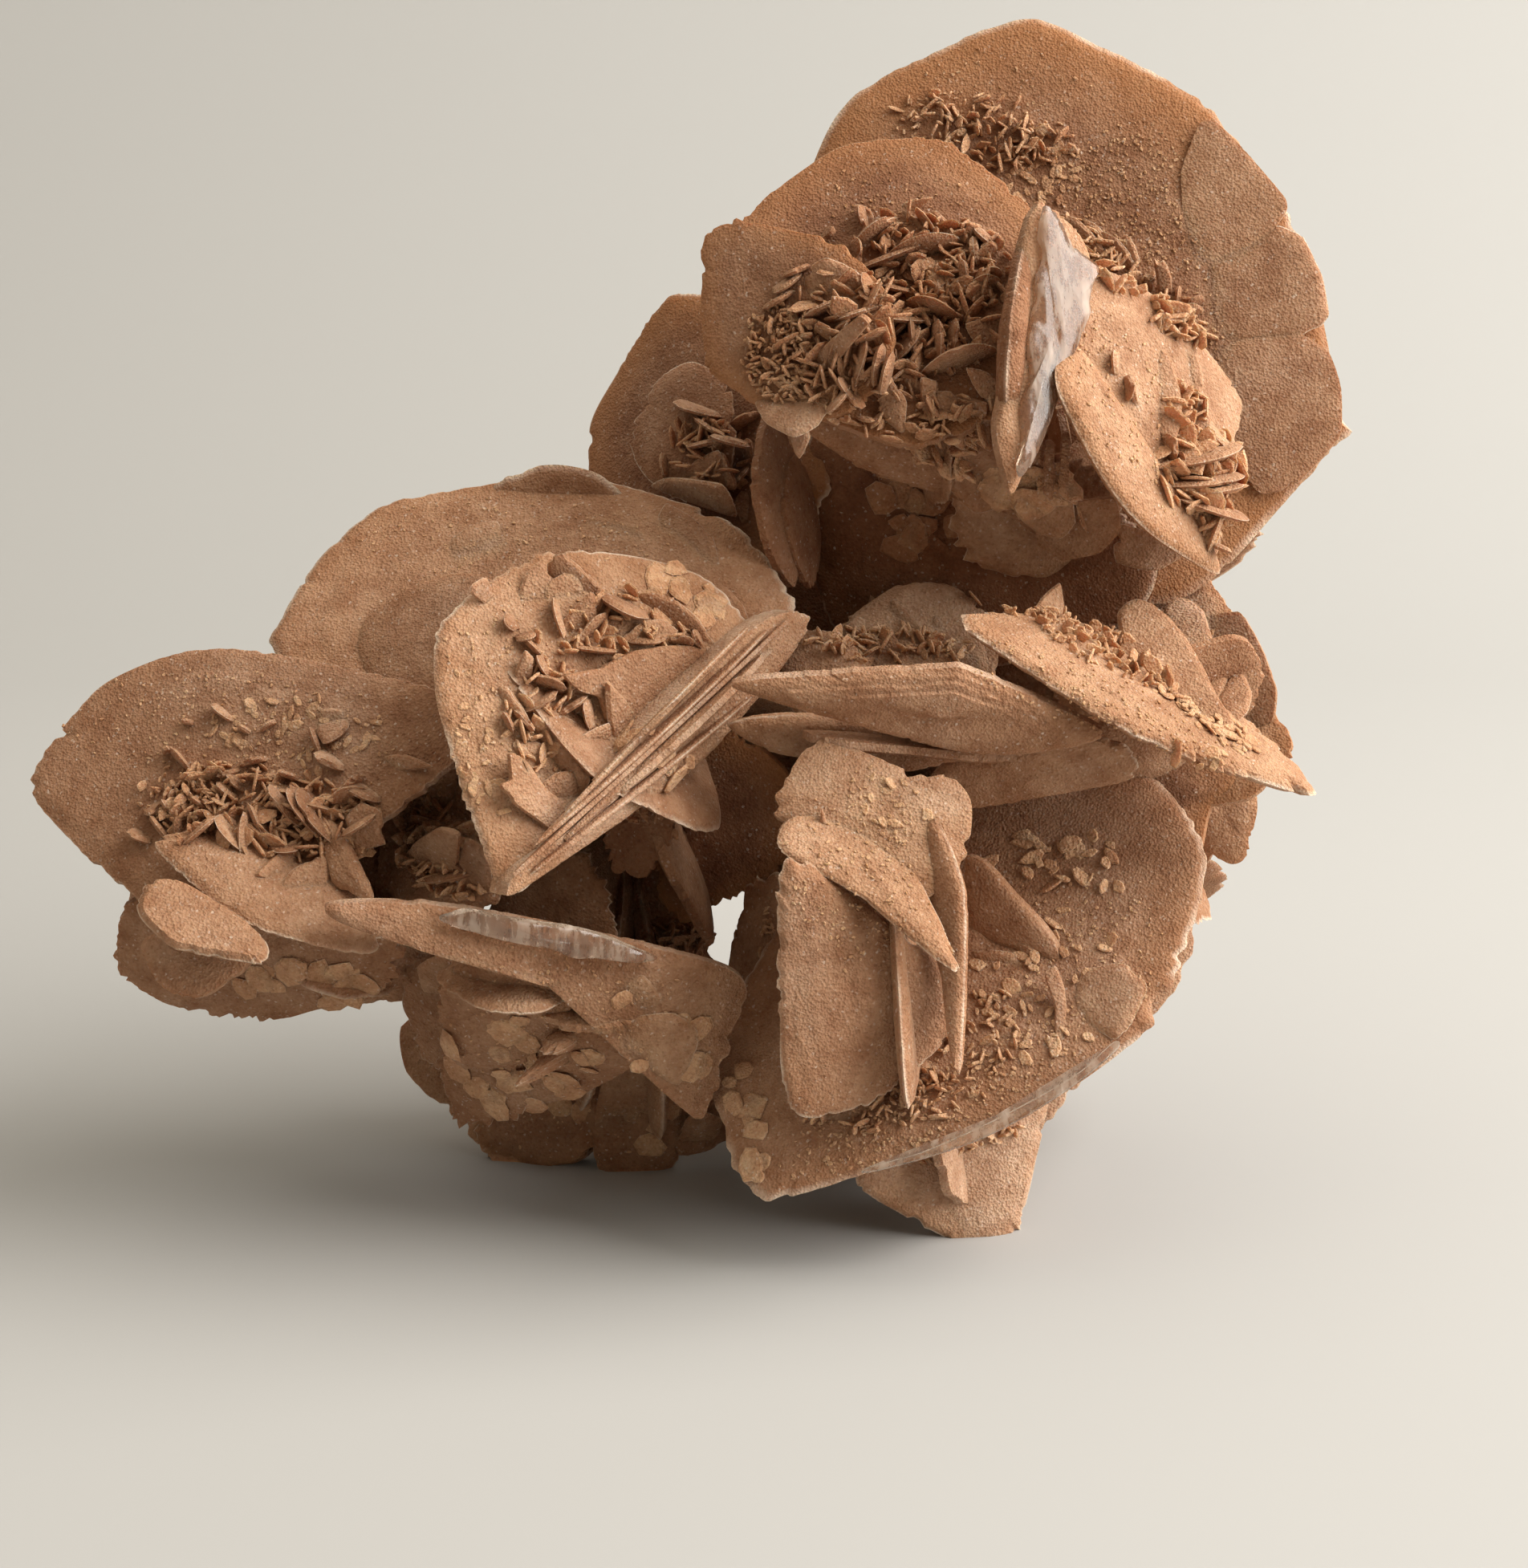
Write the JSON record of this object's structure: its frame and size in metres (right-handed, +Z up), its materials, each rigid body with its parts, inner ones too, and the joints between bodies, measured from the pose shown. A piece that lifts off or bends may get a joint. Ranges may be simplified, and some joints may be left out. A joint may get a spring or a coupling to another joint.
{
  "type": "gypsum sand rose",
  "caption": "Free-standing cluster of intergrown gypsum desert rose blades with tufts of small sand-filled crystals.",
  "frame": {"origin": "on the resting surface, under the middle of the cluster's box", "axes": "+X to the right and the cluster's longest side, +Y away from its front, +Z up"},
  "size_m": [0.2932, 0.1753, 0.2613],
  "materials": {
    "sand_gypsum": "sandy matt gypsum blades, pinkish tan, with amber rims that let a little light through",
    "selenite": "clear broken gypsum crystal"
  },
  "bodies": {
    "root": {"sand_rose": "sand_gypsum"}
  },
  "joints": []
}
